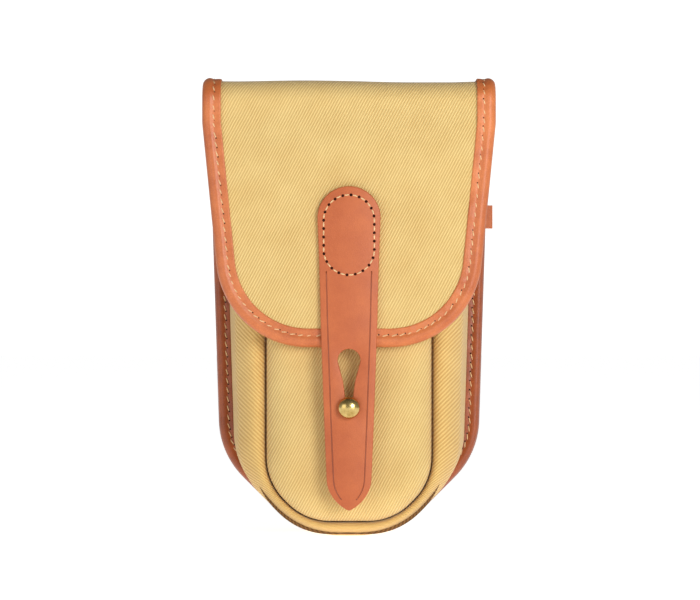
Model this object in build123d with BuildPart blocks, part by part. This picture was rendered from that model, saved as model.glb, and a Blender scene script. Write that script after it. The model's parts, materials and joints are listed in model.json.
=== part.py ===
from build123d import *
import os
from math import asin, cos, radians, sin, tan

os.makedirs("parts", exist_ok=True)

# Padded canvas pouch with leather trim. Millimetres; +Z up, -Y the front, +X the right seen from the front.
# The origin is the middle of the small flat under the pouch that it stands on.

# Driving dimensions
BACK_TOP_HALF = 62.3       # half width of the back panel at its top edge
BACK_HALF = 57.8           # half width where the straight side meets the rounded bottom
BACK_CORNER = 34.0         # size of the cut that rounds each lower corner
BACK_SIDE_R = 36.0
BACK_BOTTOM_R = 26.0
BACK_TOP = 190.0
BACK_Y = 24.0              # outer face of the back panel
MID_TOP_HALF = 51.0        # the gusset's fullest line
MID_HALF = 48.0
MID_CORNER = 28.0
MID_SIDE_R = 36.0
MID_BOTTOM_R = 40.0
MID_Y = -12.0
FRONT_HALF = 36.0          # half width of the front panel
FRONT_BOTTOM = 7.0
FRONT_CORNER = 17.0
FRONT_R = 26.0
SEAM_Y = -24.0             # where gusset and front panel are sewn together
FRONT_Y = -30.0            # outer face of the front panel
SAG = 0.3                  # how far the gusset's bottom would hang below the surface that flattens it
MOUTH = 184.0              # height of the pouch's mouth
CANVAS = 1.2
LINING = 0.8
PADDING = 3.8
LEATHER = 1.2
LIP = 6.0                  # how far the leather binding reaches in over the panel
GUSSET_BACK_Y = 15.0       # front of the back binding, where the gusset ends
GAP = 0.1                  # clearance between layers of one wall
FLAP_TOP = 199.0
FLAP_Y = -36.0             # outer face of the hanging flap
FLAP_ROOT = 191.0          # the fold line at the back, where the flap begins
FLAP_THICK = 5.6
FLAP_HALF = 63.6
FLAP_SHOULDER = 180.0      # below this the flap narrows
HEM_HALF = 55.3
HEM = 83.0
HEM_R = 40.0
HEM_BINDING = 8.4
FLAP_BACK_R = 6.5
FLAP_FRONT_R = 9.0
PROUD = 0.5                # leather stands this much above the canvas
STRAP_TOP = 152.6
STRAP_HEAD_HALF = 13.6
STRAP_HALF = 12.7
STRAP_LOW_HALF = 9.6
STRAP_TIP = 12.9
STRAP_SPLIT = 108.0        # the line at which the free part bends
STRAP_BACK_Y = -36.9
STRAP_FRONT_Y = -39.5
STUD_Z = 57.3
STUD_HEAD_R = 4.75
STUD_NECK_R = 1.5
KEYHOLE_Z = 77.7
KEYHOLE_R = 4.85
SLOT_R = 1.9
SCREW_R = 1.2
PATCH_R = 12.0
BAND_LOW = 136.0
BAND_TALL = 10.5
BAND_LEFT = -60.0
BAND_RIGHT = 65.0
BAND_STANDOFF = 5.0
BAND_THICK = 2.0
CUT_SHIFT = tan(radians(22.5))   # how a 45 degree corner moves when its outline is drawn in


def save(builder, name):
    builder.part.label = name
    export_step(builder.part, f"parts/{name}.step")


def at_depth(y):
    """The upright plane at depth y, with its own X along +X and its own Y along +Z."""
    return Plane(origin=(0, y, 0), x_dir=(1, 0, 0), z_dir=(0, -1, 0))


def u_outline(top_half, half, bottom, corner, side_r, bottom_r, top, inset=0.0):
    """A U-shaped outline with rounded lower corners, drawn in by inset all round except at the top."""
    shift = inset * CUT_SHIFT
    wide = half - inset
    flat = half - corner - shift
    low = bottom + inset
    knee = bottom + corner + shift
    with BuildSketch() as outline:
        with BuildLine():
            FilletPolyline(
                (-top_half + inset, top),
                (-wide, knee),
                (-flat, low),
                (flat, low),
                (wide, knee),
                (top_half - inset, top),
                radius=[side_r - inset, bottom_r - inset, bottom_r - inset, side_r - inset],
            )
            Line((-top_half + inset, top), (top_half - inset, top))
        make_face()
    return outline.sketch


def back_outline(inset=0.0, top=BACK_TOP):
    return u_outline(BACK_TOP_HALF, BACK_HALF, LEATHER, BACK_CORNER, BACK_SIDE_R, BACK_BOTTOM_R, top, inset)


def mid_outline(inset=0.0, top=MOUTH):
    return u_outline(MID_TOP_HALF, MID_HALF, -SAG, MID_CORNER, MID_SIDE_R, MID_BOTTOM_R, top, inset)


def front_outline(inset=0.0, top=MOUTH):
    return u_outline(FRONT_HALF, FRONT_HALF, FRONT_BOTTOM, FRONT_CORNER, FRONT_R, FRONT_R, top, inset)


def rear_outline(inset=0.0, top=MOUTH):
    """The gusset's back end, just inside the leather lip."""
    corner = BACK_CORNER - LIP * CUT_SHIFT
    return u_outline(BACK_TOP_HALF - LIP, BACK_HALF - LIP, -SAG, corner, BACK_SIDE_R - LIP, BACK_BOTTOM_R, top, inset)


def gusset_core(inset):
    """The space inside the gusset, drawn in by inset: two solids that meet at its fullest line."""
    rings = []
    for y, outline in ((SEAM_Y, front_outline), (MID_Y, mid_outline), (GUSSET_BACK_Y, rear_outline)):
        with BuildSketch(at_depth(y)) as ring:
            add(outline(inset))
        rings.append(ring.sketch)
    with BuildPart() as core:
        loft(rings[:2], ruled=True)
        loft(rings[1:], ruled=True)
    return core.part


def gusset_layer(outer, inner):
    """One U-shaped layer of the gusset wall, between two insets, worn flat where it stands."""
    with BuildPart() as layer:
        add(gusset_core(outer))
        add(gusset_core(inner), mode=Mode.SUBTRACT)
        split(bisect_by=Plane.XY, keep=Keep.TOP)
    return layer


def flap_edge(depth, reach=0.0):
    """Side view of the flap's surface, at a depth below its outer face: up the back, over the top, down the front."""
    return FilletPolyline(
        (BACK_Y - depth, FLAP_ROOT),
        (BACK_Y - depth, FLAP_TOP - depth),
        (FLAP_Y + depth, FLAP_TOP - depth),
        (FLAP_Y + depth, HEM - reach),
        radius=[FLAP_BACK_R - depth, FLAP_FRONT_R - depth],
    )


def flap_layer(outer, inner):
    """Extrudes the flap between two depths across its full width."""
    with BuildSketch(Plane.YZ) as side:
        with BuildLine():
            skin = flap_edge(outer)
            under = flap_edge(inner)
            Line(skin @ 0, under @ 0)
            Line(skin @ 1, under @ 1)
        make_face()
    extrude(side.sketch, amount=FLAP_HALF + PROUD, both=True)


def flap_outline(inset, top):
    """Front view of the flap: straight sides that narrow to the hem, with large round corners."""
    with BuildSketch() as outline:
        with BuildLine():
            FilletPolyline(
                (-FLAP_HALF + inset, top),
                (-FLAP_HALF + inset, FLAP_SHOULDER),
                (-HEM_HALF + inset, HEM + inset),
                (HEM_HALF - inset, HEM + inset),
                (FLAP_HALF - inset, FLAP_SHOULDER),
                (FLAP_HALF - inset, top),
                radius=[HEM_R, HEM_R - inset, HEM_R - inset, HEM_R],
            )
            Line((-FLAP_HALF + inset, top), (FLAP_HALF - inset, top))
        make_face()
    return outline.sketch


def round_bar(radius, start_y, end_y, mode=Mode.ADD, x=0.0, z=STUD_Z):
    """A round bar along Y."""
    with BuildSketch(at_depth(start_y)) as section:
        with Locations((x, z)):
            Circle(radius)
    extrude(section.sketch, amount=start_y - end_y, dir=(0, -1, 0), mode=mode)


def flap_window(inset, mode):
    """Keeps or cuts the part of the flap that lies inside its outline drawn in by inset."""
    with BuildSketch(at_depth(BACK_Y + 10)) as window:
        add(flap_outline(inset, FLAP_TOP + 10))
    extrude(window.sketch, amount=BACK_Y - FLAP_Y + 30, dir=(0, -1, 0), mode=mode)


def flap_panel(outer, inner):
    """One layer of the flap, inside its leather edge."""
    with BuildPart() as layer:
        flap_layer(outer, inner)
        flap_window(HEM_BINDING, Mode.INTERSECT)
    return layer


def plate(outline, inset, start_y, end_y, mode=Mode.ADD, top=MOUTH):
    """A flat layer of a panel, from depth start_y forward to end_y."""
    with BuildSketch(at_depth(start_y)) as face:
        add(outline(inset, top))
    extrude(face.sketch, amount=start_y - end_y, dir=(0, -1, 0), mode=mode)


# Back panel: canvas outside, padding, lining, and the leather that folds round its edge
LINING_Y = 16.2
PAD_Y = LINING_Y + LINING
with BuildPart() as back_panel:
    plate(back_outline, GAP, BACK_Y, BACK_Y - CANVAS, top=BACK_TOP)
save(back_panel, "back_panel")

with BuildPart() as back_padding:
    plate(back_outline, GAP, BACK_Y - CANVAS - GAP, PAD_Y + GAP, top=BACK_TOP)
save(back_padding, "back_padding")

with BuildPart() as back_lining:
    plate(back_outline, GAP, PAD_Y, LINING_Y, top=BACK_TOP)
save(back_lining, "back_lining")

with BuildPart() as back_binding:
    plate(back_outline, -LEATHER, BACK_Y + LEATHER, GUSSET_BACK_Y, top=BACK_TOP)
    plate(back_outline, LIP, BACK_Y + LEATHER, GUSSET_BACK_Y, Mode.SUBTRACT, top=BACK_TOP)
    plate(back_outline, 0, BACK_Y, LINING_Y, Mode.SUBTRACT, top=BACK_TOP)
save(back_binding, "back_binding")

# Gusset: three nested layers
gusset = gusset_layer(0, CANVAS)
save(gusset, "gusset")
gusset_padding = gusset_layer(CANVAS + GAP, CANVAS + PADDING)
save(gusset_padding, "gusset_padding")
gusset_lining = gusset_layer(CANVAS + PADDING + GAP, CANVAS + PADDING + LINING)
save(gusset_lining, "gusset_lining")

# Front panel: a canvas tray with a rounded front edge, filled with padding and closed by its lining
FRONT_ROUND = 4.5
with BuildPart() as front_panel:
    plate(front_outline, 0, SEAM_Y, FRONT_Y)
    fillet(front_panel.faces().sort_by(Axis.Y)[0].edges(), FRONT_ROUND)
    with BuildPart(mode=Mode.PRIVATE) as hollow:
        plate(front_outline, CANVAS, SEAM_Y, FRONT_Y + CANVAS)
        fillet(hollow.faces().sort_by(Axis.Y)[0].edges(), FRONT_ROUND - CANVAS)
    add(hollow.part, mode=Mode.SUBTRACT)
    round_bar(SCREW_R + GAP, SEAM_Y, FRONT_Y, Mode.SUBTRACT)
save(front_panel, "front_panel")

with BuildPart() as front_padding:
    plate(front_outline, CANVAS + GAP, SEAM_Y - LINING - GAP, FRONT_Y + CANVAS + GAP)
    fillet(front_padding.faces().sort_by(Axis.Y)[0].edges(), FRONT_ROUND - CANVAS - GAP)
    round_bar(SCREW_R + GAP, SEAM_Y, FRONT_Y, Mode.SUBTRACT)
save(front_padding, "front_padding")

with BuildPart() as front_lining:
    plate(front_outline, CANVAS + GAP, SEAM_Y, SEAM_Y - LINING)
    round_bar(SCREW_R + GAP, SEAM_Y, FRONT_Y, Mode.SUBTRACT)
save(front_lining, "front_lining")

# Leather rim round the mouth, on top of the front panel and both sides of the gusset
RIM_TALL = 3.0
RIM_WIDE = 6.5
RIM_FRONT = FRONT_Y + 0.3
with BuildPart() as mouth_binding:
    with BuildSketch(Plane.XY.offset(MOUTH)):
        with BuildLine():
            Polyline(
                (-BACK_TOP_HALF + LIP, GUSSET_BACK_Y), (-MID_TOP_HALF, MID_Y), (-FRONT_HALF, SEAM_Y),
                (-FRONT_HALF, RIM_FRONT), (FRONT_HALF, RIM_FRONT), (FRONT_HALF, SEAM_Y),
                (MID_TOP_HALF, MID_Y), (BACK_TOP_HALF - LIP, GUSSET_BACK_Y),
                (BACK_TOP_HALF - LIP - RIM_WIDE, GUSSET_BACK_Y), (MID_TOP_HALF - RIM_WIDE, MID_Y),
                (FRONT_HALF - RIM_WIDE, SEAM_Y), (-FRONT_HALF + RIM_WIDE, SEAM_Y),
                (-MID_TOP_HALF + RIM_WIDE, MID_Y), (-BACK_TOP_HALF + LIP + RIM_WIDE, GUSSET_BACK_Y),
                close=True,
            )
        make_face()
    extrude(amount=RIM_TALL)
save(mouth_binding, "mouth_binding")

# Ball stud, with the leather patch, washer and screw that hold it from inside
PATCH_THICK = 1.4
WASHER_THICK = 0.6
SCREW_HEAD = 1.5
STUD_FOOT_R = 4.2
WASHER_R = 6.0
SCREW_HEAD_R = 4.5
SCREW_TIP = FRONT_Y - 4.0
NECK_START = STRAP_BACK_Y + 0.4
NECK_END = STRAP_FRONT_Y - 0.5
HEAD_TALL = 4.6
DOME_TALL = HEAD_TALL - 1.2
dome_r = (STUD_HEAD_R**2 + DOME_TALL**2) / (2 * DOME_TALL)
half_angle = asin(STUD_HEAD_R / dome_r) / 2
dome_middle = (dome_r * sin(half_angle), NECK_END - HEAD_TALL + dome_r * (1 - cos(half_angle)))
with BuildPart() as stud_post:
    with BuildSketch(Plane.XY.offset(STUD_Z)):
        with BuildLine():
            Polyline((0, FRONT_Y), (STUD_FOOT_R, FRONT_Y), (STUD_FOOT_R, FRONT_Y - 1.2), (STUD_NECK_R, NECK_START),
                     (STUD_NECK_R, NECK_END), (STUD_HEAD_R - 1.0, NECK_END), (STUD_HEAD_R, NECK_END - 1.2))
            ThreePointArc((STUD_HEAD_R, NECK_END - 1.2), dome_middle, (0, NECK_END - HEAD_TALL))
            Line((0, NECK_END - HEAD_TALL), (0, FRONT_Y))
        make_face()
    revolve(axis=Axis((0, 0, STUD_Z), (0, 1, 0)))
    round_bar(SCREW_R + GAP / 2, FRONT_Y, SCREW_TIP - GAP, Mode.SUBTRACT)
save(stud_post, "stud_post")

with BuildPart() as stud_patch:
    round_bar(PATCH_R, SEAM_Y + PATCH_THICK, SEAM_Y)
    round_bar(SCREW_R + GAP, SEAM_Y + PATCH_THICK, SEAM_Y, Mode.SUBTRACT)
save(stud_patch, "stud_patch")

WASHER_Y = SEAM_Y + PATCH_THICK + WASHER_THICK
with BuildPart() as stud_washer:
    round_bar(WASHER_R, WASHER_Y, WASHER_Y - WASHER_THICK)
    round_bar(SCREW_R + GAP, WASHER_Y, WASHER_Y - WASHER_THICK, Mode.SUBTRACT)
save(stud_washer, "stud_washer")

with BuildPart() as stud_screw:
    round_bar(SCREW_HEAD_R, WASHER_Y + SCREW_HEAD, WASHER_Y)
    round_bar(SCREW_R, WASHER_Y, SCREW_TIP)
    with BuildSketch(at_depth(WASHER_Y + SCREW_HEAD)):
        with Locations((0, STUD_Z)):
            Rectangle(2 * SCREW_HEAD_R, 1.0)
    extrude(amount=0.7, mode=Mode.SUBTRACT)
save(stud_screw, "stud_screw")

# Leather carry band across the back: sewn at both ends and in the middle, so that it makes two slots
BAND_FOOT = 10.0
BAND_BASE = BACK_Y + LEATHER
BAND_RAMP = 6.0


def band_edge(lift, reach):
    """Top view of one face of the band, which stands off the back twice."""
    low = BAND_BASE + lift
    high = low + BAND_STANDOFF
    ramp = BAND_RAMP - reach
    return [
        (BAND_LEFT, low), (BAND_LEFT + BAND_FOOT + reach, low),
        (BAND_LEFT + BAND_FOOT + BAND_RAMP, high), (-BAND_FOOT / 2 - ramp, high),
        (-BAND_FOOT / 2, low), (BAND_FOOT / 2, low),
        (BAND_FOOT / 2 + ramp, high), (BAND_RIGHT - BAND_FOOT - BAND_RAMP, high),
        (BAND_RIGHT - BAND_FOOT - reach, low), (BAND_RIGHT, low),
    ]


with BuildPart() as carry_band:
    with BuildSketch(Plane.XY.offset(BAND_LOW)):
        with BuildLine():
            Polyline(*band_edge(0, 0), *reversed(band_edge(BAND_THICK, 0)), close=True)
        make_face()
    extrude(amount=BAND_TALL)
save(carry_band, "carry_band")

# Flap: canvas, padding, lining and the leather round its sides and hem
save(flap_panel(0, CANVAS), "flap_canvas")
save(flap_panel(CANVAS + GAP, FLAP_THICK - LINING - GAP), "flap_padding")
save(flap_panel(FLAP_THICK - LINING, FLAP_THICK), "flap_lining")

with BuildPart() as flap_binding:
    flap_layer(-PROUD, FLAP_THICK)
    flap_window(0, Mode.INTERSECT)
    flap_window(HEM_BINDING - GAP, Mode.SUBTRACT)
save(flap_binding, "flap_binding")

# Strap: the head is stitched to the flap, the tail below it swings free and buttons over the stud
HEAD_R = 13.0
with BuildPart() as strap_head:
    with BuildSketch(at_depth(FLAP_Y)):
        with BuildLine():
            FilletPolyline((-STRAP_HALF, STRAP_SPLIT + 0.2), (-STRAP_HEAD_HALF, STRAP_TOP), (STRAP_HEAD_HALF, STRAP_TOP),
                           (STRAP_HALF, STRAP_SPLIT + 0.2), radius=HEAD_R)
            Line((-STRAP_HALF, STRAP_SPLIT + 0.2), (STRAP_HALF, STRAP_SPLIT + 0.2))
        make_face()
    extrude(amount=FLAP_Y - STRAP_FRONT_Y)
    fillet(strap_head.faces().sort_by(Axis.Y)[0].edges().filter_by(GeomType.CIRCLE), 0.6)
save(strap_head, "strap_head")

TIP_SHOULDER = 27.0
with BuildPart() as strap_tail:
    with BuildSketch(at_depth(STRAP_BACK_Y)):
        with BuildLine():
            Line((-STRAP_HALF, STRAP_SPLIT - 0.2), (-STRAP_LOW_HALF, TIP_SHOULDER))
            ThreePointArc((-STRAP_LOW_HALF, TIP_SHOULDER), (-STRAP_LOW_HALF * 0.6, TIP_SHOULDER - 9.0), (0, STRAP_TIP))
            ThreePointArc((0, STRAP_TIP), (STRAP_LOW_HALF * 0.6, TIP_SHOULDER - 9.0), (STRAP_LOW_HALF, TIP_SHOULDER))
            Line((STRAP_LOW_HALF, TIP_SHOULDER), (STRAP_HALF, STRAP_SPLIT - 0.2))
            Line((STRAP_HALF, STRAP_SPLIT - 0.2), (-STRAP_HALF, STRAP_SPLIT - 0.2))
        make_face()
        with Locations((0, KEYHOLE_Z)):
            Circle(KEYHOLE_R, mode=Mode.SUBTRACT)
        with Locations((0, STUD_Z)):
            Circle(SLOT_R, mode=Mode.SUBTRACT)
        with BuildLine():
            Polyline((-KEYHOLE_R * 0.96, KEYHOLE_Z - 1.4), (-SLOT_R, STUD_Z), (SLOT_R, STUD_Z),
                     (KEYHOLE_R * 0.96, KEYHOLE_Z - 1.4), close=True)
        make_face(mode=Mode.SUBTRACT)
    extrude(amount=STRAP_BACK_Y - STRAP_FRONT_Y)
save(strap_tail, "strap_tail")
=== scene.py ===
import bisect
import json
import math

import bmesh
import bpy
from mathutils import Matrix, Vector, noise

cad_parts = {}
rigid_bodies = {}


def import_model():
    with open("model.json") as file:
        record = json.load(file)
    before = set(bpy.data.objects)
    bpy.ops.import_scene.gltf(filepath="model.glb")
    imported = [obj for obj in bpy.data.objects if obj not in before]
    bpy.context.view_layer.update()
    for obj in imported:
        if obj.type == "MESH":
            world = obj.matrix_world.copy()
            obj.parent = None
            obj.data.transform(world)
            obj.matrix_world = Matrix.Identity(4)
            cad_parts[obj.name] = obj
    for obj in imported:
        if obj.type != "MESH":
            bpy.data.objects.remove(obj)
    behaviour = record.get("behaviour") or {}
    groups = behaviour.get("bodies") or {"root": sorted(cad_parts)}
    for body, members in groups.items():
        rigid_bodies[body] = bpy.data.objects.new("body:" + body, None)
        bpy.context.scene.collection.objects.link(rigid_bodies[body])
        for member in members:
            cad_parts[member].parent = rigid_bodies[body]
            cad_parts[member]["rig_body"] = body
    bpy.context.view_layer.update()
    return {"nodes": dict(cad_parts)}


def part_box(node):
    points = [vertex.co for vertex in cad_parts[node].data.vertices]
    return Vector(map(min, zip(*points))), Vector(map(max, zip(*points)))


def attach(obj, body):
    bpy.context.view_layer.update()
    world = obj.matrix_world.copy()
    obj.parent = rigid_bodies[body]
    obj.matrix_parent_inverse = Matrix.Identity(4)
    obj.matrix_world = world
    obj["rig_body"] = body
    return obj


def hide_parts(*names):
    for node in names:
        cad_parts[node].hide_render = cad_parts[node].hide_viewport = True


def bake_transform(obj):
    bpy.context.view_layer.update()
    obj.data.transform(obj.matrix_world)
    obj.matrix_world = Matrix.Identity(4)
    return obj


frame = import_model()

MM = 0.001


# ---------------------------------------------------------------- shader maths

class Sock:
    """A shader socket that Python's operators work on."""

    def __init__(self, tree, out):
        self.tree = tree
        self.out = out

    def math(self, operation, *others):
        return node(self.tree, "ShaderNodeMath", {"operation": operation}, [self, *others])

    def __add__(self, other):
        return self.math("ADD", other)

    def __sub__(self, other):
        return self.math("SUBTRACT", other)

    def __rsub__(self, other):
        return node(self.tree, "ShaderNodeMath", {"operation": "SUBTRACT"}, [other, self])

    def __mul__(self, other):
        return self.math("MULTIPLY", other)

    __radd__ = __add__
    __rmul__ = __mul__


def node(tree, kind, settings=None, inputs=()):
    """Adds a node: its settings first, then its inputs by order or by name. Returns its first output."""
    made = tree.nodes.new(kind)
    for key, value in (settings or {}).items():
        if key == "stops":
            ramp = made.color_ramp
            while len(ramp.elements) < len(value):
                ramp.elements.new(0.5)
            for element, (place, colour) in zip(ramp.elements, value):
                element.position = place
                element.color = (*colour, 1.0) if len(colour) == 3 else colour
        else:
            setattr(made, key, value)
    pairs = inputs.items() if isinstance(inputs, dict) else enumerate(inputs)
    for key, value in pairs:
        if isinstance(value, Sock):
            tree.links.new(value.out, made.inputs[key])
        else:
            made.inputs[key].default_value = value
    return Sock(tree, made.outputs[0])


def object_place(tree):
    made = tree.nodes.new("ShaderNodeTexCoord")
    return Sock(tree, made.outputs["Object"])


def cloth_place(tree):
    made = tree.nodes.new("ShaderNodeUVMap")
    made.uv_map = "cloth"
    return Sock(tree, made.outputs[0])


def finish_material(name, roughness, **constants):
    """A Principled material; constants are the values that are the same all over the surface."""
    material = bpy.data.materials.new(name)
    material.use_nodes = True
    tree = material.node_tree
    shader = tree.nodes["Principled BSDF"]
    shader.inputs["Roughness"].default_value = roughness
    for key, value in constants.items():
        shader.inputs[key.replace("_", " ")].default_value = value
    return material, tree, shader


def bump(tree, shader, height, strength, distance):
    made = tree.nodes.new("ShaderNodeBump")
    made.inputs["Strength"].default_value = strength
    made.inputs["Distance"].default_value = distance
    tree.links.new(height.out, made.inputs["Height"])
    tree.links.new(made.outputs[0], shader.inputs["Normal"])


def srgb(red, green, blue):
    """A screen colour from 0 to 255 as the linear colour that shaders use."""
    shares = (red / 255, green / 255, blue / 255)
    return tuple(((c + 0.055) / 1.055) ** 2.4 if c > 10 / 255 else c / 12.92 for c in shares) + (1.0,)


RIB = 1.12 * MM            # from one twill rib to the next
RIB_SLOPE = math.radians(62)


def twill_material(name, light, dark, slope=RIB_SLOPE):
    """Cotton twill: slanted ribs, each broken into the bead-like floats of its yarns."""
    material, tree, shader = finish_material(name, 0.9, Sheen_Weight=0.25, Sheen_Roughness=0.5,
                                             Specular_IOR_Level=0.2)
    place = cloth_place(tree)
    wobble = node(tree, "ShaderNodeTexNoise", {}, {"Vector": place, "Scale": 90.0, "Detail": 2.0})
    parts = tree.nodes.new("ShaderNodeSeparateXYZ")
    tree.links.new(place.out, parts.inputs[0])
    across = Sock(tree, parts.outputs[0])
    along = Sock(tree, parts.outputs[1])
    turn = 2 * math.pi / RIB
    phase = (across * math.sin(slope) - along * math.cos(slope)) * turn + wobble * 1.6
    ribs = phase.math("SINE") * 0.5 + 0.5
    down_rib = across * math.cos(slope) + along * math.sin(slope)
    floats = (down_rib * (turn * 1.9) + phase * 0.5).math("SINE") * 0.5 + 0.5
    weave = ribs * 0.75 + floats * ribs * 0.25
    fuzz = node(tree, "ShaderNodeTexNoise",
                {}, {"Vector": place, "Scale": 2600.0, "Detail": 3.0, "Roughness": 0.7})
    slub = node(tree, "ShaderNodeTexNoise",
                {}, {"Vector": place, "Scale": 55.0, "Detail": 4.0, "Roughness": 0.6})
    shade = weave * 0.42 + fuzz * 0.50 + slub * 0.28
    colour = node(tree, "ShaderNodeValToRGB", {"stops": [(0.22, dark), (0.86, light)]}, [shade])
    tree.links.new(colour.out, shader.inputs["Base Color"])
    bump(tree, shader, weave + fuzz * 0.5, 0.55, 0.00035)
    return material


def leather_material(name, light, dark, grain=900.0, wrinkle=0.35, roughness=0.42):
    """Smooth tan leather: fine pores, faint mottling and soft wrinkles."""
    material, tree, shader = finish_material(name, roughness, Coat_Roughness=0.35, Specular_IOR_Level=0.45)
    shader.inputs["Coat Weight"].default_value = 0.12
    place = object_place(tree)
    mottle = node(tree, "ShaderNodeTexNoise",
                  {}, {"Vector": place, "Scale": 70.0, "Detail": 5.0, "Roughness": 0.6})
    pores = node(tree, "ShaderNodeTexVoronoi", {"feature": "DISTANCE_TO_EDGE"},
                 {"Vector": place, "Scale": grain})
    fine = node(tree, "ShaderNodeTexNoise", {}, {"Vector": place, "Scale": 2400.0, "Detail": 2.0})
    creases = node(tree, "ShaderNodeTexNoise", {"noise_type": "RIDGED_MULTIFRACTAL"},
                   {"Vector": place, "Scale": 260.0, "Detail": 3.0, "Roughness": 0.5})
    shade = mottle * 0.75 + fine * 0.22 + pores.math("MINIMUM", 0.25) * 0.3
    colour = node(tree, "ShaderNodeValToRGB", {"stops": [(0.30, dark), (0.78, light)]}, [shade])
    tree.links.new(colour.out, shader.inputs["Base Color"])
    rough = mottle * 0.22 + (roughness - 0.11)
    tree.links.new(rough.out, shader.inputs["Roughness"])
    height = pores.math("MINIMUM", 0.2) * 1.4 + fine * 0.25 + creases * wrinkle
    bump(tree, shader, height, 0.35, 0.00022)
    return material


def thread_material():
    material, tree, shader = finish_material("waxed_thread", 0.6, Specular_IOR_Level=0.3)
    place = object_place(tree)
    fibres = node(tree, "ShaderNodeTexNoise", {}, {"Vector": place, "Scale": 3000.0, "Detail": 2.0})
    colour = node(tree, "ShaderNodeValToRGB",
                  {"stops": [(0.25, srgb(190, 140, 88)[:3]), (0.7, srgb(246, 218, 170)[:3])]}, [fibres])
    tree.links.new(colour.out, shader.inputs["Base Color"])
    bump(tree, shader, fibres, 0.5, 0.0002)
    return material


def brass_material():
    material, tree, shader = finish_material("polished_brass", 0.22, Metallic=1.0)
    place = object_place(tree)
    haze = node(tree, "ShaderNodeTexNoise", {}, {"Vector": place, "Scale": 350.0, "Detail": 4.0})
    colour = node(tree, "ShaderNodeValToRGB",
                  {"stops": [(0.3, srgb(178, 148, 84)[:3]), (0.75, srgb(222, 198, 132)[:3])]}, [haze])
    tree.links.new(colour.out, shader.inputs["Base Color"])
    rough = haze * 0.2 + 0.12
    tree.links.new(rough.out, shader.inputs["Roughness"])
    bump(tree, shader, haze, 0.08, 0.0002)
    return material


# Dark brown for the needle holes: painted shade standing in for the depth of each hole.
def hole_shade_material():
    material, tree, shader = finish_material("needle_hole_shade", 0.9, Specular_IOR_Level=0.1)
    place = object_place(tree)
    fleck = node(tree, "ShaderNodeTexNoise", {}, {"Vector": place, "Scale": 2000.0})
    colour = node(tree, "ShaderNodeValToRGB",
                  {"stops": [(0.3, srgb(34, 14, 8)[:3]), (0.7, srgb(62, 26, 14)[:3])]}, [fleck])
    tree.links.new(colour.out, shader.inputs["Base Color"])
    return material


CANVAS = twill_material("khaki_twill", srgb(234, 209, 143)[:3], srgb(190, 145, 76)[:3])
GUSSET_CANVAS = twill_material("khaki_twill_gusset", srgb(236, 204, 132)[:3], srgb(188, 137, 66)[:3],
                               math.radians(55))
# The seam roll's darker twill is painted shade: it stands in for the shadow in the crease between the front
# panel and the gusset.
CREASE_SHADE_CANVAS = twill_material("khaki_twill_crease_shade", srgb(176, 124, 62)[:3], srgb(118, 76, 34)[:3])
LINING = twill_material("brown_lining", srgb(150, 108, 62)[:3], srgb(84, 54, 28)[:3], math.radians(45))
LEATHER = leather_material("tan_leather", srgb(222, 131, 72)[:3], srgb(174, 84, 40)[:3], 900.0, 0.6)
STRAP_LEATHER = leather_material("tan_strap_leather", srgb(200, 106, 53)[:3], srgb(172, 80, 36)[:3],
                                 1300.0, 0.12, 0.46)
# A darker copy of the tan leather for the back binding: painted shade for the binding's shaded sides.
SHADED_BACK_LEATHER = leather_material("tan_leather_back_painted_shade", srgb(182, 92, 43)[:3], srgb(122, 54, 22)[:3])
CREASE = leather_material("tan_leather_pressed", srgb(166, 80, 40)[:3], srgb(132, 58, 28)[:3])
THREAD = thread_material()
BRASS = brass_material()
HOLE_SHADE = hole_shade_material()


# ---------------------------------------------------------------- frame sizes

flap_low, flap_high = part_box("flap_binding")
canvas_low, canvas_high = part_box("flap_canvas")
back_low, back_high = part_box("back_binding")
panel_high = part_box("back_panel")[1]
front_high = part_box("front_panel")[1]
gusset_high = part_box("gusset")[1]
head_low, head_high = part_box("strap_head")
tail_low, tail_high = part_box("strap_tail")
stud_low, stud_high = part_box("stud_post")

HEM = flap_low[2]
FLAP_HALF = flap_high[0]
HEM_HALF = FLAP_HALF - 8.3 * MM
SHOULDER = HEM + 97 * MM
HEM_R = 40 * MM
FLAP_FRONT = canvas_low[1]
FLAP_TOP = canvas_high[2]
FLAP_BACK = canvas_high[1]
FLAP_ROOT = back_high[2] + MM
FRONT_ROUND = 9 * MM
BACK_ROUND = 6.5 * MM
WALL = 5.4 * MM
SEAM_Y = front_high[1]
MOUTH = gusset_high[2]


def to_object(mesh, name, body, slot, *materials, smooth=True):
    """Turns a bmesh into a named piece that rides on a body."""
    data = bpy.data.meshes.new(name)
    mesh.to_mesh(data)
    mesh.free()
    piece = bpy.data.objects.new(name, data)
    bpy.context.scene.collection.objects.link(piece)
    for material in materials:
        data.materials.append(material)
    for face in data.polygons:
        face.use_smooth = smooth
    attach(piece, body)
    return piece


def add_modifier(piece, kind, **settings):
    modifier = piece.modifiers.new(kind.lower(), kind)
    for key, value in settings.items():
        setattr(modifier, key, value)
    return modifier


def subdivide(piece, levels=1):
    add_modifier(piece, "SUBSURF", levels=levels, render_levels=levels)


def mapped_grid(columns, rows, place, cloth):
    """A grid with each (u, v), both from 0 to 1, moved to place(u, v); cloth(u, v) is where it lies flat."""
    mesh = bmesh.new()
    bmesh.ops.create_grid(mesh, x_segments=columns, y_segments=rows, size=0.5)
    layer = mesh.loops.layers.uv.new("cloth")
    flat = {v: (v.co.x + 0.5, v.co.y + 0.5) for v in mesh.verts}
    for face in mesh.faces:
        for loop in face.loops:
            loop[layer].uv = cloth(*flat[loop.vert])
    for vert, (u, v) in flat.items():
        vert.co = place(u, v)
    return mesh


def close_walls(piece, thickness, inside=0, rim=0):
    """Gives a skin its thickness inwards, with the inner face and rim in other materials."""
    add_modifier(piece, "SOLIDIFY", thickness=thickness, offset=-1.0, use_even_offset=False,
                 material_offset=inside, material_offset_rim=rim)


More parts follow.
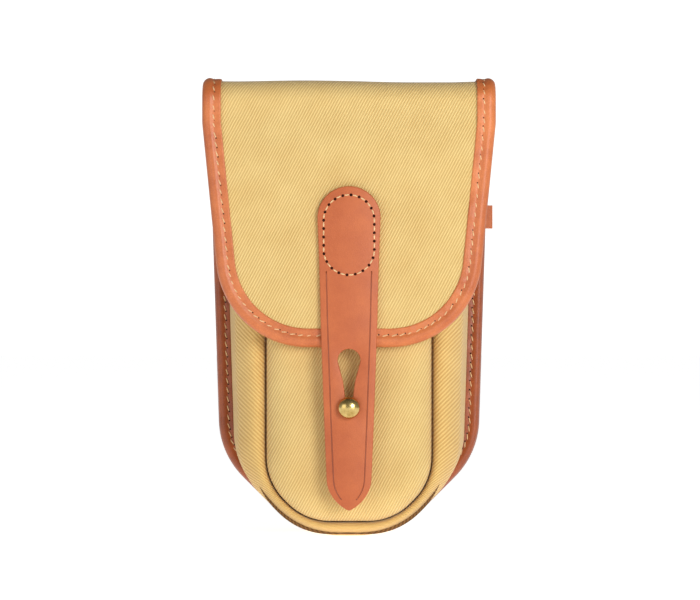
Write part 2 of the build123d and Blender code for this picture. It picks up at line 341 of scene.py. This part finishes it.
def soft_noise(x, y, z, scale, height):
    return noise.noise(Vector((x, y, z)) * scale) * height


# ---------------------------------------------------------------- outlines

class Outline:
    """Half of a pouch outline as a path: from the middle of the bottom, round the corner and up the side."""

    def __init__(self, top_half, half, bottom, corner, bottom_r, side_r, top, steps=14):
        tangent = math.tan(math.radians(22.5))
        points = [(0.0, bottom)]
        flat = half - corner
        centre = (flat - bottom_r * tangent, bottom + bottom_r)
        for i in range(steps + 1):
            turn = math.radians(45) * i / steps
            points.append((centre[0] + bottom_r * math.sin(turn), centre[1] - bottom_r * math.cos(turn)))
        knee = bottom + corner
        centre = (half - side_r, knee + side_r * tangent)
        for i in range(steps + 1):
            turn = math.radians(45) * (1 + i / steps)
            points.append((centre[0] + side_r * math.sin(turn), centre[1] - side_r * math.cos(turn)))
        points.append((top_half, top))
        self.measure(points)

    def measure(self, points):
        self.points = [Vector(p) for p in points]
        self.lengths = [0.0]
        for a, b in zip(self.points, self.points[1:]):
            self.lengths.append(self.lengths[-1] + (b - a).length)
        self.total = self.lengths[-1]

    def at(self, distance):
        """The point and outward normal at a signed distance along the path; negative is the left half."""
        s = min(abs(distance), self.total - 1e-9)
        i = max(1, bisect.bisect_right(self.lengths, s))
        a, b = self.points[i - 1], self.points[i]
        step = b - a
        point = a + step * ((s - self.lengths[i - 1]) / step.length)
        normal = Vector((step.y, -step.x)).normalized()
        side = 1 if distance >= 0 else -1
        return Vector((side * point.x, point.y)), Vector((side * normal.x, normal.y))

    def half_at(self, height):
        """Half the width at a height."""
        if height <= self.points[1].y:
            return self.points[1].x
        for a, b in zip(self.points[1:], self.points[2:]):
            if a.y <= height <= b.y:
                return a.x + (b.x - a.x) * (height - a.y) / (b.y - a.y)
        return self.points[-1].x

    def edge_distance(self, x, z):
        """How far a point inside is from the outline, the open top left out."""
        place = Vector((abs(x), z))
        nearest = 1.0
        for a, b in zip(self.points, self.points[1:]):
            step = b - a
            t = min(1.0, max(0.0, (place - a).dot(step) / step.length_squared))
            nearest = min(nearest, (place - a - step * t).length)
        return nearest


front_outline = Outline(36 * MM, 36 * MM, 7 * MM, 17 * MM, 26 * MM, 26 * MM, MOUTH)
mid_outline = Outline(51 * MM, 48 * MM, 0.0, 28 * MM, 40 * MM, 36 * MM, MOUTH)
rear_outline = Outline(56.3 * MM, 51.8 * MM, 0.3 * MM, 31.5 * MM, 26 * MM, 30 * MM, MOUTH)
back_outline = Outline(62.3 * MM, 57.8 * MM, 1.2 * MM, 34 * MM, 26 * MM, 36 * MM, panel_high[2])


class FlapOutline(Outline):
    """The flap's outline laid flat: its own X, and the distance from the root along the cloth."""

    def __init__(self):
        steps = 24
        centre_x = HEM_HALF - HEM_R
        lean = math.atan2(FLAP_HALF - HEM_HALF, SHOULDER - HEM)
        points = [(0.0, HEM)]
        shift = 2.4 * MM
        for i in range(steps + 1):
            turn = (math.pi / 2 - lean) * i / steps
            points.append((centre_x + shift + HEM_R * math.sin(turn), HEM + HEM_R * (1 - math.cos(turn))))
        points.append((FLAP_HALF, SHOULDER))
        points.append((FLAP_HALF, HEM + CLOTH_RUN))
        self.measure(points)


# The flap's run of cloth: up the back, over the top, down the front.
BACK_RISE = FLAP_TOP - BACK_ROUND - FLAP_ROOT
BACK_ARC = BACK_ROUND * math.pi / 2
ROOF = FLAP_BACK - FLAP_FRONT - BACK_ROUND - FRONT_ROUND
FRONT_ARC = FRONT_ROUND * math.pi / 2
HANG = FLAP_TOP - FRONT_ROUND - HEM
CLOTH_RUN = HANG + FRONT_ARC + ROOF + BACK_ARC + BACK_RISE


def over_flap(x, height, lift):
    """Hangs a point of the flat flap, lift above the cloth. Up to the fold, height is simply Z."""
    run = height - HEM
    if run <= HANG:
        return Vector((x, FLAP_FRONT - lift, HEM + run))
    run -= HANG
    if run <= FRONT_ARC:
        turn = run / FRONT_ROUND
        reach = FRONT_ROUND + lift
        return Vector((x, FLAP_FRONT + FRONT_ROUND - reach * math.cos(turn),
                       FLAP_TOP - FRONT_ROUND + reach * math.sin(turn)))
    run -= FRONT_ARC
    if run <= ROOF:
        return Vector((x, FLAP_FRONT + FRONT_ROUND + run, FLAP_TOP + lift))
    run -= ROOF
    if run <= BACK_ARC:
        turn = run / BACK_ROUND
        reach = BACK_ROUND + lift
        return Vector((x, FLAP_BACK - BACK_ROUND + reach * math.sin(turn),
                       FLAP_TOP - BACK_ROUND + reach * math.cos(turn)))
    run -= BACK_ARC
    return Vector((x, FLAP_BACK + lift, FLAP_TOP - BACK_ROUND - run))


flap_outline = FlapOutline()


class DrawnIn(Outline):
    """Another outline, drawn in by an inset."""

    def __init__(self, outer, inset):
        points = []
        for distance, point in zip(outer.lengths, outer.points):
            normal = outer.at(distance)[1]
            points.append(point - normal * inset)
        points[0].x = 0.0
        self.measure(points)


# ---------------------------------------------------------------- padded canvas

def pillow(distance, reach, height):
    """The rise of a padded panel at a distance from its seam."""
    t = min(1.0, distance / reach)
    return height * math.sqrt(1 - (1 - t) ** 2)


def front_surface(x, z):
    """The bulging face of the front panel."""
    edge = front_outline.edge_distance(x, z)
    low = max(0.0, math.sin(math.pi * min(1.0, z / (92 * MM))))
    crown = 2.6 * MM * (1 - (x / front_outline.points[-1].x) ** 2) * low
    y = SEAM_Y + 5.0 * MM - pillow(edge, 12 * MM, 9.6 * MM) - crown
    y += soft_noise(x, 0.0, z, 38.0, 0.9 * MM) * min(1.0, edge / (10 * MM))
    return Vector((x, y, z))


def build_front_panel():
    bottom = front_outline.points[0].y

    def flat(u, v):
        z = bottom + (MOUTH - bottom) * v ** 1.5
        side = 2 * u - 1
        bend = math.sin(side * math.pi / 2) if abs(side) < 1 else side
        return bend * front_outline.half_at(z), z

    mesh = mapped_grid(56, 120, lambda u, v: front_surface(*flat(u, v)), flat)
    piece = to_object(mesh, "front_canvas_padded", "pouch", "canvas", CANVAS, LINING)
    close_walls(piece, 4.2 * MM, inside=1)
    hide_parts("front_panel", "front_padding", "front_lining")
    return piece


def gusset_point(s, t):
    """The gusset at s from -1 to 1 round the U, and t from 0 at the front seam to 1 at the back binding."""
    places = [o.at(s * o.total)[0] for o in (front_outline, mid_outline, rear_outline)]
    normal = mid_outline.at(s * mid_outline.total)[1]
    front, mid, rear = places
    share = 0.32
    if t < share:
        k = t / share
        flat = front.lerp(mid, k ** 1.1)
        y = SEAM_Y + 7.5 * MM * (1 - k) ** 5 + 12 * MM * k ** 2.6
    else:
        k = (t - share) / (1 - share)
        flat = mid.lerp(rear, k ** 1.1)
        y = SEAM_Y + 12 * MM + 27 * MM * k
    swell = 1.2 * MM * math.sin(math.pi * t) * (1 - max(0.0, -normal.y) ** 2)
    swell += soft_noise(flat.x, y, flat.y, 30.0, 0.8 * MM) * math.sin(math.pi * t) * (1 - max(0.0, -normal.y))
    flat = flat + normal * swell
    return Vector((flat.x, y, max(0.0, flat.y)))


def build_gusset():
    def place(u, v):
        return gusset_point(2 * u - 1, v)

    def cloth(u, v):
        around = (2 * u - 1) * rear_outline.total
        return (v * 0.045, math.hypot(around, 12 * MM))

    mesh = mapped_grid(220, 30, place, cloth)
    bmesh.ops.reverse_faces(mesh, faces=mesh.faces[:])
    piece = to_object(mesh, "gusset_canvas_padded", "pouch", "canvas", GUSSET_CANVAS, LINING)
    close_walls(piece, WALL, inside=1)
    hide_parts("gusset", "gusset_padding", "gusset_lining")
    return piece


def build_back_panel():
    bottom = back_outline.points[0].y

    def flat(u, v):
        z = bottom + (back_outline.points[-1].y - bottom) * v ** 1.5
        side = math.sin((2 * u - 1) * math.pi / 2)
        return side * back_outline.half_at(z), z

    def place(u, v):
        x, z = flat(u, v)
        y = FLAP_BACK - 0.4 * MM
        y += soft_noise(x, 3.0, z, 25.0, 0.7 * MM) * min(1.0, back_outline.edge_distance(x, z) / (15 * MM))
        return Vector((x, y, z))

    mesh = mapped_grid(60, 100, place, flat)
    bmesh.ops.reverse_faces(mesh, faces=mesh.faces[:])
    piece = to_object(mesh, "back_canvas_padded", "pouch", "canvas", CANVAS, LINING)
    close_walls(piece, 7.0 * MM, inside=1)
    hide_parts("back_panel", "back_padding", "back_lining")
    return piece


FLAP_INSET = 6.6 * MM
cloth_outline = DrawnIn(flap_outline, FLAP_INSET)


def flap_flat(u, v):
    """A point of the flat flap cloth, whose edge is hidden in the leather fold."""
    low = HEM + FLAP_INSET
    height = low + (HEM + CLOTH_RUN - low) * v ** 1.5
    side = math.sin((2 * u - 1) * math.pi / 2)
    return side * cloth_outline.half_at(height), height


def flap_lift(x, height):
    """Soft hollows and swells of the padded flap."""
    edge = min(1.0, flap_outline.edge_distance(x, height) / (18 * MM))
    top_fold = math.exp(-((height - HEM - HANG) / (16 * MM)) ** 2)
    lift = soft_noise(x, 7.0, height, 26.0, 0.9 * MM) * edge
    lift += 0.8 * MM * (1 - (x / FLAP_HALF) ** 2) * edge
    return lift - 1.8 * MM * top_fold * edge


def build_flap():
    def place(u, v):
        x, height = flap_flat(u, v)
        return over_flap(x, height, flap_lift(x, height) - 0.1 * MM)

    mesh = mapped_grid(80, 190, place, flap_flat)
    piece = to_object(mesh, "flap_canvas_padded", "flap", "canvas", CANVAS, LINING)
    close_walls(piece, 4.8 * MM, inside=1)
    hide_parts("flap_canvas", "flap_padding", "flap_lining")
    return piece


# ---------------------------------------------------------------- leather edges

def binding(name, body, outline, mapper, section, steps, material, replaced):
    """Leather folded round an outline. section is a closed loop of (inward, lift) pairs."""
    mesh = bmesh.new()
    reach = outline.total
    rings = []
    for i in range(steps + 1):
        distance = -reach + 2 * reach * i / steps
        point, normal = outline.at(distance)
        ring = []
        for inward, lift in section:
            tight = 1.6 if inward > 0.6 * section[0][0] else 0.6
            place = Vector((point.x * 330, point.y * 330, inward * 160 + 5.0))
            wrinkle = 0.22 * MM * tight * noise.noise(place)
            flat = point - normal * inward
            ring.append(mesh.verts.new(mapper(flat.x, flat.y, lift + wrinkle * (1 if lift > 0 else 0))))
        rings.append(ring)
    count = len(section)
    for a, b in zip(rings, rings[1:]):
        for k in range(count):
            mesh.faces.new((a[k], a[(k + 1) % count], b[(k + 1) % count], b[k]))
    mesh.faces.new(rings[0][::-1])
    mesh.faces.new(rings[-1])
    bmesh.ops.recalc_face_normals(mesh, faces=mesh.faces[:])
    piece = to_object(mesh, name, body, "leather", material)
    subdivide(piece)
    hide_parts(replaced)
    return piece


def fold_section(wide, stitch, front, back, edge, rounds=6):
    """A leather fold's closed outline: along the front with its stitched groove, round the edge and back."""
    loop = [(wide, front - 0.7 * MM), (wide - 0.1 * MM, front - 0.15 * MM), (wide - 0.6 * MM, front)]
    inner = wide - stitch
    loop += [(stitch + inner * share, front - 0.05 * MM) for share in (0.7, 0.42)]
    groove = 0.6 * MM
    loop += [(stitch + groove, front - 0.12 * MM), (stitch, front - 0.34 * MM)]
    loop.append((stitch - groove, front - 0.05 * MM))
    swell = 0.45 * MM
    radius = (front + swell - back) / 2
    middle = (front + swell + back) / 2
    centre = min(radius, stitch - 1.4 * MM)
    for i in range(rounds + 1):
        turn = math.pi / 2 - math.pi * i / rounds
        loop.append((centre - edge - centre * math.cos(turn), middle + radius * math.sin(turn)))
    loop += [(wide * 0.6, back), (wide - 0.5 * MM, back)]
    loop += [(wide, back + 0.5 * MM), (wide - 0.2 * MM, back + 1.2 * MM)]
    loop += [(wide - 1.5 * MM, back + 1.5 * MM), (wide - 1.5 * MM, front - 1.3 * MM)]
    return loop


FLAP_SEAM_IN = 5.2 * MM
BACK_SEAM_IN = 3.6 * MM
BACK_HALF_DEEP = (back_high[1] - back_low[1]) / 2


def build_flap_binding():
    section = fold_section(8.4 * MM, FLAP_SEAM_IN, 0.75 * MM, -5.5 * MM, 0.0)
    return binding("flap_leather_edge", "flap", flap_outline, over_flap, section, 330,
                   LEATHER, "flap_binding")


def on_back(x, z, lift):
    return Vector((x, back_low[1] + BACK_HALF_DEEP - lift, max(0.0, z)))


def build_back_binding():
    section = fold_section(6.2 * MM, BACK_SEAM_IN, BACK_HALF_DEEP, -BACK_HALF_DEEP, 1.1 * MM)
    # The back binding takes the darker copy of the leather, as painted shade.
    return binding("back_leather_edge", "pouch", back_outline, on_back, section, 300,
                   SHADED_BACK_LEATHER, "back_binding")


# ---------------------------------------------------------------- stitching

def capsule_mesh(length, radius):
    """One stitch lying along X: a thread that dips into the leather at both ends."""
    mesh = bmesh.new()
    bmesh.ops.create_uvsphere(mesh, u_segments=8, v_segments=6, radius=radius)
    for vert in mesh.verts:
        along = vert.co.z
        vert.co = Vector((along / radius * length / 2, vert.co.x, vert.co.y))
        vert.co.z -= (vert.co.x / (length / 2)) ** 2 * radius * 0.9
    return mesh


def scatter(name, body, slot, material, template, places):
    """Copies of a small shape at many places, joined in one piece."""
    source = bpy.data.meshes.new(name + "_one")
    template.to_mesh(source)
    template.free()
    mesh = bmesh.new()
    for place in places:
        before = len(mesh.verts)
        mesh.from_mesh(source)
        mesh.verts.ensure_lookup_table()
        bmesh.ops.transform(mesh, matrix=place, verts=mesh.verts[before:])
    bmesh.ops.recalc_face_normals(mesh, faces=mesh.faces[:])
    bpy.data.meshes.remove(source)
    return to_object(mesh, name, body, slot, material)


def facing(origin, along, outward):
    """A matrix with X along the seam and Z out of the surface."""
    along = along.normalized()
    out = (outward - along * outward.dot(along)).normalized()
    side = out.cross(along)
    return Matrix.Translation(origin) @ Matrix((along, side, out)).transposed().to_4x4()


SEAM_PITCH = 4.1 * MM        # from one stitch to the next
STITCH_SHARE = 0.36          # how far each end reaches, as a share of the pitch
SEAM_SLANT = 0.45 * MM


def seam_places(outline, mapper, inward, lift, slant):
    """Matrices of the stitches along an outline, and of the dark dots at their ends, painted shade for the
    needle holes.
    """
    reach = outline.total - 2 * MM
    count = int(2 * reach / SEAM_PITCH)
    stitches, holes = [], []
    for i in range(count):
        distance = -reach + (i + 0.5) * SEAM_PITCH
        point, normal = outline.at(distance)
        tip_a = outline.at(distance - SEAM_PITCH * STITCH_SHARE)[0] - normal * (inward - slant)
        tip_b = outline.at(distance + SEAM_PITCH * STITCH_SHARE)[0] - normal * (inward + slant)
        middle = (tip_a + tip_b) / 2
        origin = mapper(middle.x, middle.y, lift)
        a, b = mapper(tip_a.x, tip_a.y, lift), mapper(tip_b.x, tip_b.y, lift)
        out = mapper(middle.x, middle.y, lift + MM) - origin
        stitches.append(facing(origin, b - a, out))
        holes.append(facing(b, b - a, out))
    return stitches, holes


# A flat dark dot sunk at each needle hole, painted shade for the hole.
def hole_shade_dot(radius):
    mesh = bmesh.new()
    bmesh.ops.create_uvsphere(mesh, u_segments=8, v_segments=4, radius=radius)
    bmesh.ops.scale(mesh, vec=(1.0, 1.0, 0.25), verts=mesh.verts)
    return mesh


def build_seam(name, body, outline, mapper, inward, lift, length, radius):
    stitches, holes = seam_places(outline, mapper, inward, lift, SEAM_SLANT)
    scatter(name + "_thread", body, "leather", THREAD, capsule_mesh(length, radius), stitches)
    scatter(name + "_holes", body, "leather", HOLE_SHADE, hole_shade_dot(0.34 * MM), holes)


# ---------------------------------------------------------------- strap

STRAP_FRONT = head_low[1]
HEAD_TOP = head_high[2]
TIP = tail_low[2]
STUD_Z = (stud_low[2] + stud_high[2]) / 2
KEYHOLE_Z = STUD_Z + 20.4 * MM


STRAP_HEAD_R = 13.6 * MM
STRAP_MID_HALF = 12.3 * MM
STRAP_LOW_HALF = 9.7 * MM
TIP_START = 27 * MM          # where the strap begins to round in to its tip
TAPER_SHARE = 0.62           # how much of the strap tapers slowly, from the low end up
KEYHOLE_R = 4.85 * MM
SLOT_R = 1.9 * MM


def strap_half(z):
    """Half the strap's width at a height: round head, long taper, pointed tip."""
    shoulder = HEAD_TOP - STRAP_HEAD_R
    if z > shoulder:
        return math.sqrt(max(0.0, STRAP_HEAD_R ** 2 - (z - shoulder) ** 2))
    if z > TIP_START:
        share = (z - TIP_START) / (shoulder - TIP_START)
        slow = min(1.0, share / TAPER_SHARE) ** 0.9
        quick = max(0.0, (share - TAPER_SHARE) / (1 - TAPER_SHARE)) ** 1.3
        widened = STRAP_LOW_HALF + (STRAP_MID_HALF - STRAP_LOW_HALF) * slow
        return widened + (STRAP_HEAD_R - STRAP_MID_HALF) * quick
    return STRAP_LOW_HALF * max(0.0, 1 - ((TIP_START - z) / (TIP_START - TIP)) ** 2.1) ** 0.8


def strap_outline():
    """The strap's edge as a closed loop of points, and the keyhole's."""
    heights = [HEAD_TOP - STRAP_HEAD_R * (1 - math.cos(math.radians(a))) for a in range(0, 90, 6)]
    heights += [HEAD_TOP - STRAP_HEAD_R - i * 3 * MM for i in range(34)]
    heights = [h for h in heights if h > TIP_START]
    heights += [TIP_START - (TIP_START - TIP) * math.sin(math.radians(a)) for a in range(0, 91, 6)]
    right = [(strap_half(z), z) for z in heights]
    left = [(-x, z) for x, z in reversed(right) if x > 1e-6]
    keyhole = []
    for i in range(25):
        turn = math.radians(-25 + 230 * i / 24)
        keyhole.append((KEYHOLE_R * math.cos(turn), KEYHOLE_Z + KEYHOLE_R * math.sin(turn)))
    keyhole.append((-2.6 * MM, KEYHOLE_Z - 9 * MM))
    keyhole.append((-1.75 * MM, KEYHOLE_Z - 15 * MM))
    for i in range(9):
        turn = math.radians(180 + 180 * i / 8)
        keyhole.append((SLOT_R * math.cos(turn), STUD_Z + SLOT_R * math.sin(turn)))
    keyhole.append((1.75 * MM, KEYHOLE_Z - 15 * MM))
    keyhole.append((2.6 * MM, KEYHOLE_Z - 9 * MM))
    return [p for p in right if p[0] > 1e-6 or p[1] > 50 * MM] + left, keyhole


def strap_bend(point):
    """The strap leans in towards the front panel below the hem."""
    x, y, z = point
    if z < HEM:
        y += 0.5 * MM * ((HEM - z) / (HEM - TIP)) ** 1.5
    return Vector((x, y, z))


def build_strap():
    outer, keyhole = strap_outline()
    mesh = bmesh.new()
    loops = []
    for ring in (outer, keyhole):
        verts = [mesh.verts.new((x, STRAP_FRONT, z)) for x, z in ring]
        loops += [mesh.edges.new((verts[i], verts[(i + 1) % len(verts)])) for i in range(len(verts))]
    bmesh.ops.remove_doubles(mesh, verts=mesh.verts[:], dist=1e-6)
    bmesh.ops.triangle_fill(mesh, use_beauty=True, edges=mesh.edges[:])
    back = bmesh.ops.extrude_face_region(mesh, geom=mesh.faces[:])
    moved = [item for item in back["geom"] if isinstance(item, bmesh.types.BMVert)]
    bmesh.ops.translate(mesh, vec=(0.0, 2.6 * MM, 0.0), verts=moved)
    bmesh.ops.recalc_face_normals(mesh, faces=mesh.faces[:])
    inner = [e for e in mesh.edges if len(e.link_faces) == 2]
    rims = [e for e in inner if abs(e.link_faces[0].normal.y - e.link_faces[1].normal.y) > 0.7]
    bmesh.ops.bevel(mesh, geom=rims, offset=0.45 * MM, offset_type="OFFSET", segments=3, profile=0.5,
                    affect="EDGES", material=-1)
    for vert in mesh.verts:
        vert.co = strap_bend(vert.co)
    piece = to_object(mesh, "strap_leather", "strap", "leather", STRAP_LEATHER, smooth=True)
    piece.data.set_sharp_from_angle(angle=math.radians(50))
    del piece["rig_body"]
    piece.parent = None
    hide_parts("strap_tail", "strap_head")
    return piece


def build_strap_creases():
    """The pressed lines inside the strap's edges, as thin dark grooves."""
    mesh = bmesh.new()
    low, high = 17.5 * MM, 116 * MM
    wide = 0.28 * MM
    section = ((-wide, 0.02 * MM), (0.0, 0.0), (wide, 0.02 * MM), (0.0, 0.3 * MM))
    for side in (-1, 1):
        rows = []
        for i in range(61):
            z = low + (high - low) * i / 60
            x = side * (strap_half(z) - 3.0 * MM)
            y = strap_bend((x, STRAP_FRONT, z)).y
            rows.append([mesh.verts.new((x + dx, y - 0.03 * MM + dy, z)) for dx, dy in section])
        for a, b in zip(rows, rows[1:]):
            for k in range(4):
                mesh.faces.new((a[k], a[(k + 1) % 4], b[(k + 1) % 4], b[k]))
        mesh.faces.new(rows[0])
        mesh.faces.new(rows[-1][::-1])
    bmesh.ops.recalc_face_normals(mesh, faces=mesh.faces[:])
    return to_object(mesh, "strap_crease_lines", "strap", "leather", CREASE)


HEAD_STITCHES = 26


def oval_point(turn):
    """The stitched oval on the strap's head: half circles joined by straight sides."""
    half, tall = 10.9 * MM, 17.2 * MM
    centre_z = HEAD_TOP - 21.0 * MM
    straight = tall - half
    length = 2 * math.pi * half + 4 * straight
    s = (turn % 1.0) * length
    if s < 2 * straight:
        return Vector((half, centre_z - straight + s)), Vector((0, 1))
    s -= 2 * straight
    if s < math.pi * half:
        a = s / half
        return (Vector((half * math.cos(a), centre_z + straight + half * math.sin(a))),
                Vector((-math.sin(a), math.cos(a))))
    s -= math.pi * half
    if s < 2 * straight:
        return Vector((-half, centre_z + straight - s)), Vector((0, -1))
    a = math.pi + (s - 2 * straight) / half
    return (Vector((half * math.cos(a), centre_z - straight + half * math.sin(a))),
            Vector((-math.sin(a), math.cos(a))))


def build_head_stitches():
    stitches, holes = [], []
    out = Vector((0, -1, 0))
    for i in range(HEAD_STITCHES):
        point, way = oval_point((i + 0.5) / HEAD_STITCHES)
        origin = Vector((point.x, STRAP_FRONT + 0.02 * MM, point.y))
        stitches.append(facing(origin, Vector((way.x, 0, way.y)), out))
        point, way = oval_point(i / HEAD_STITCHES)
        holes.append(facing(Vector((point.x, STRAP_FRONT, point.y)), Vector((way.x, 0, way.y)), out))
    scatter("strap_head_thread", "flap", "leather", THREAD, capsule_mesh(2.7 * MM, 0.34 * MM), stitches)
    scatter("strap_head_holes", "flap", "leather", HOLE_SHADE, hole_shade_dot(0.66 * MM), holes)


# ---------------------------------------------------------------- stud

STUD_HEAD_R = 4.75 * MM


def build_stud():
    """A turned brass ball stud: flanged foot, thin neck and domed head."""
    foot, tip = stud_high[1], stud_low[1]
    dome = 3.1 * MM
    neck = foot - 7.0 * MM
    profile = [(0.0, foot), (4.2 * MM, foot), (4.3 * MM, foot - 0.6 * MM), (4.0 * MM, foot - 1.2 * MM),
               (2.6 * MM, foot - 3.4 * MM), (1.6 * MM, foot - 6.0 * MM), (1.5 * MM, neck),
               (1.5 * MM, tip + 4.8 * MM), (2.4 * MM, tip + 4.55 * MM), (4.2 * MM, tip + 4.3 * MM),
               (4.7 * MM, tip + 3.7 * MM), (STUD_HEAD_R, tip + dome)]
    for i in range(1, 10):
        turn = math.radians(90 * i / 9)
        profile.append((STUD_HEAD_R * math.cos(turn), tip + dome * (1 - math.sin(turn))))
    mesh = bmesh.new()
    verts = [mesh.verts.new((r, y, STUD_Z)) for r, y in profile]
    edges = [mesh.edges.new(pair) for pair in zip(verts, verts[1:])]
    bmesh.ops.spin(mesh, geom=verts + edges, cent=(0, 0, STUD_Z), axis=(0, 1, 0), angle=2 * math.pi, steps=48,
                   use_merge=True)
    bmesh.ops.remove_doubles(mesh, verts=mesh.verts[:], dist=1e-6)
    bmesh.ops.recalc_face_normals(mesh, faces=mesh.faces[:])
    piece = to_object(mesh, "brass_ball_stud", "pouch", "brass", BRASS)
    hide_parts("stud_post")
    return piece


# ---------------------------------------------------------------- seam roll between front panel and gusset

def build_seam_roll():
    """The turned canvas edge where the front panel is sewn to the gusset, in a darker twill that is painted
    shade for the crease.
    """
    mesh = bmesh.new()
    steps, sides = 240, 8
    radius = 1.25 * MM
    layer = mesh.loops.layers.uv.new("cloth")
    rings = []
    for i in range(steps + 1):
        distance = -front_outline.total + 2 * front_outline.total * i / steps
        point, normal = front_outline.at(distance)
        ring = []
        for k in range(sides):
            turn = 2 * math.pi * k / sides
            flat = point + normal * (radius * math.cos(turn) - 0.5 * MM)
            ring.append(mesh.verts.new((flat.x, SEAM_Y + 7.0 * MM + radius * math.sin(turn), flat.y)))
        rings.append((ring, distance))
    for (a, da), (b, db) in zip(rings, rings[1:]):
        for k in range(sides):
            face = mesh.faces.new((a[k], a[(k + 1) % sides], b[(k + 1) % sides], b[k]))
            for loop, (j, d) in zip(face.loops, ((k, da), (k + 1, da), (k + 1, db), (k, db))):
                loop[layer].uv = (j * MM, d)
    mesh.faces.new(rings[0][0])
    mesh.faces.new(rings[-1][0][::-1])
    bmesh.ops.recalc_face_normals(mesh, faces=mesh.faces[:])
    return to_object(mesh, "front_seam_roll", "pouch", "canvas", CREASE_SHADE_CANVAS)


# ---------------------------------------------------------------- build

build_front_panel()
build_gusset()
build_back_panel()
build_flap()
build_flap_binding()
build_back_binding()
build_seam_roll()
build_stud()
strap = build_strap()
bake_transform(strap)
build_strap_creases()
build_head_stitches()
build_seam("flap_seam", "flap", flap_outline, over_flap, FLAP_SEAM_IN, 0.50 * MM, 3.1 * MM, 0.27 * MM)
build_seam("back_seam", "pouch", back_outline, on_back, BACK_SEAM_IN, BACK_HALF_DEEP + 0.10 * MM,
           3.0 * MM, 0.26 * MM)

for name, material in {
    "mouth_binding": LEATHER, "carry_band": LEATHER, "stud_patch": LEATHER,
    "stud_washer": BRASS, "stud_screw": BRASS,
}.items():
    part = frame["nodes"][name]
    part.data.materials.clear()
    part.data.materials.append(material)


# ---------------------------------------------------------------- studio

def studio():
    mesh = bmesh.new()
    bmesh.ops.create_grid(mesh, x_segments=1, y_segments=1, size=4.0)
    data = bpy.data.meshes.new("floor")
    mesh.to_mesh(data)
    mesh.free()
    floor = bpy.data.objects.new("floor", data)
    bpy.context.scene.collection.objects.link(floor)
    material, tree, shader = finish_material("pale_floor", 0.9, Specular_IOR_Level=0.0)
    shader.inputs["Base Color"].default_value = (0.9, 0.9, 0.9, 1)
    shader.inputs["Emission Color"].default_value = (1, 1, 1, 1)
    shader.inputs["Emission Strength"].default_value = 0.80
    data.materials.append(material)

    world = bpy.data.worlds.new("studio")
    bpy.context.scene.world = world
    world.use_nodes = True
    tree = world.node_tree
    background = tree.nodes["Background"]
    background.inputs[0].default_value = (1, 1, 1, 1)
    rays = tree.nodes.new("ShaderNodeLightPath")
    way = tree.nodes.new("ShaderNodeSeparateXYZ")
    tree.links.new(tree.nodes.new("ShaderNodeTexCoord").outputs["Generated"], way.inputs[0])
    overhead = Sock(tree, way.outputs[2]).math("MAXIMUM", 0.0)
    seen = Sock(tree, rays.outputs["Is Camera Ray"]) * 0.7 + 0.46 - overhead * 0.36
    tree.links.new(seen.out, background.inputs[1])

    middle = Vector((0, 0, 0.1))
    for name, place, size, power in (
        ("key", (0.55, -1.05, 0.34), 0.40, 7.0),
        ("fill", (-0.80, -1.00, 0.20), 0.8, 3.0),
    ):
        light = bpy.data.lights.new(name, "AREA")
        light.size = size
        light.energy = power
        lamp = bpy.data.objects.new(name, light)
        bpy.context.scene.collection.objects.link(lamp)
        lamp.location = place
        lamp.rotation_euler = (middle - Vector(place)).to_track_quat("-Z", "Y").to_euler()

    camera_data = bpy.data.cameras.new("camera")
    camera = bpy.data.objects.new("camera", camera_data)
    bpy.context.scene.collection.objects.link(camera)
    distance = 1.2
    view_width = 0.43 * MM * 700
    camera_data.sensor_width = 36.0
    camera_data.lens = 36.0 * distance / view_width
    camera.location = (0.43 * MM, STRAP_FRONT - distance, 0.1036)
    camera.rotation_euler = (math.pi / 2, 0, 0)
    bpy.context.scene.camera = camera
    bpy.context.scene.view_settings.view_transform = "Standard"


studio()
